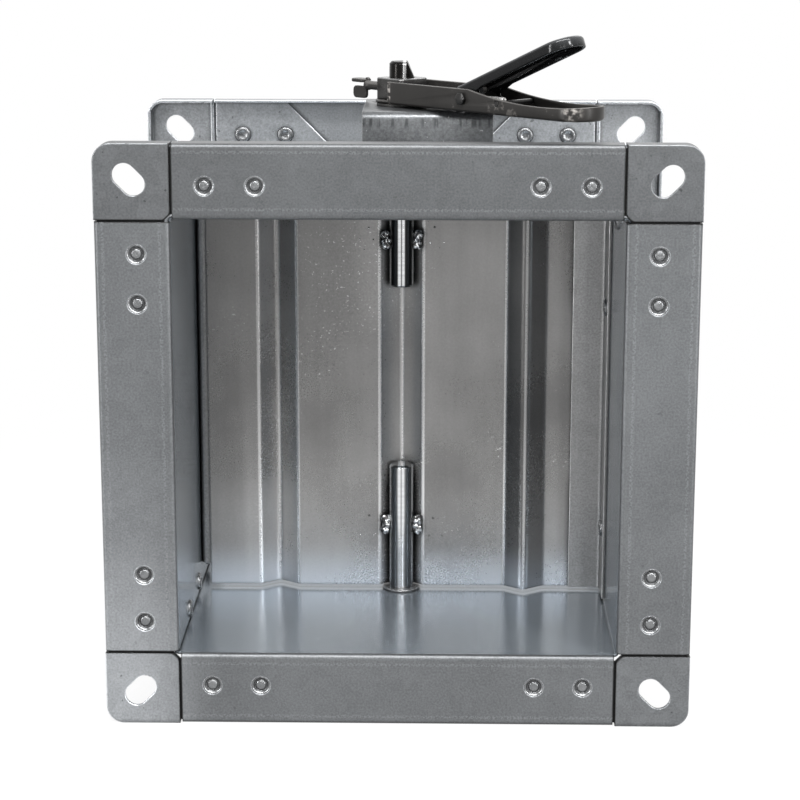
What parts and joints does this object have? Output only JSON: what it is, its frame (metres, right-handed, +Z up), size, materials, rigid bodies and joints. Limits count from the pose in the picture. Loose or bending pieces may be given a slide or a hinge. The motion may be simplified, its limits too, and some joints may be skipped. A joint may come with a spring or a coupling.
{
  "type": "duct damper",
  "caption": "Square sheet-metal duct damper with flanged casing, folded blade on a vertical shaft and a locking hand lever on a stand-off bracket.",
  "frame": {"origin": "centre of the duct opening on the face of the front flange", "axes": "+X right, +Y along the duct from the front to the rear flange, +Z up towards the hand lever"},
  "size_m": [0.267, 0.205, 0.3127],
  "materials": {
    "galvanised_sheet": "satin galvanised",
    "stamped_plate": "satin galvanised, stamped",
    "clinch_steel": "satin",
    "bush": "dull bronze",
    "bracket_zinc": "zinc plated, dull",
    "washer_zinc": "zinc plated",
    "blade_sheet": "satin galvanised",
    "bright_bar": "bright drawn bar",
    "weld_metal": "shiny weld",
    "black_steel": "black, semi-gloss",
    "black_gloss": "black, glossy",
    "hub_zinc": "olive zinc",
    "dark_bolt": "dark zinc",
    "spring_wire": "spring wire"
  },
  "bodies": {
    "casing": {"casing_bottom_right": "galvanised_sheet", "casing_left_top": "galvanised_sheet", "front_plate_top_left": "stamped_plate", "front_plate_top_right": "stamped_plate", "front_plate_bottom_left": "stamped_plate", "front_plate_bottom_right": "stamped_plate", "rear_plate_top_left": "stamped_plate", "rear_plate_top_right": "stamped_plate", "rear_plate_bottom_left": "stamped_plate", "rear_plate_bottom_right": "stamped_plate", "front_flange_clinches": "clinch_steel", "rear_flange_clinches": "clinch_steel", "seam_clinches": "clinch_steel", "lower_bush": "bush", "upper_bush": "bush", "right_stop": "galvanised_sheet", "left_stop": "galvanised_sheet", "stop_clinches": "clinch_steel", "quadrant_bracket": "bracket_zinc", "bracket_rivets": "clinch_steel", "thrust_washer": "washer_zinc"},
    "blade_and_handle": {"blade": "blade_sheet", "lower_stub_shaft": "bright_bar", "drive_shaft": "bright_bar", "weld_beads": "weld_metal", "shaft_clip": "black_steel", "handle_arm": "black_steel", "hub_block": "hub_zinc", "wing_screw": "black_steel", "pivot_bolt": "dark_bolt", "pivot_nut": "dark_bolt", "spring_pin": "dark_bolt", "return_spring": "spring_wire"},
    "trigger": {"trigger_lever": "black_gloss", "lock_tooth": "hub_zinc"}
  },
  "joints": [
    {"name": "blade_turn", "type": "hinge", "parent": "casing", "child": "blade_and_handle", "pos_m": [0, 0.1025, 0], "axis": [0, 0, 1], "range_deg": [0, 90]},
    {"name": "trigger_squeeze", "type": "hinge", "parent": "blade_and_handle", "child": "trigger", "pos_m": [0.03677, 0.06573, 0.1478], "axis": [0.7071, 0.7071, 0], "range_deg": [0, 18], "stiffness_Nm_per_rad": 0.25, "springref_deg": -20.05, "deforming": ["return_spring"]}
  ]
}
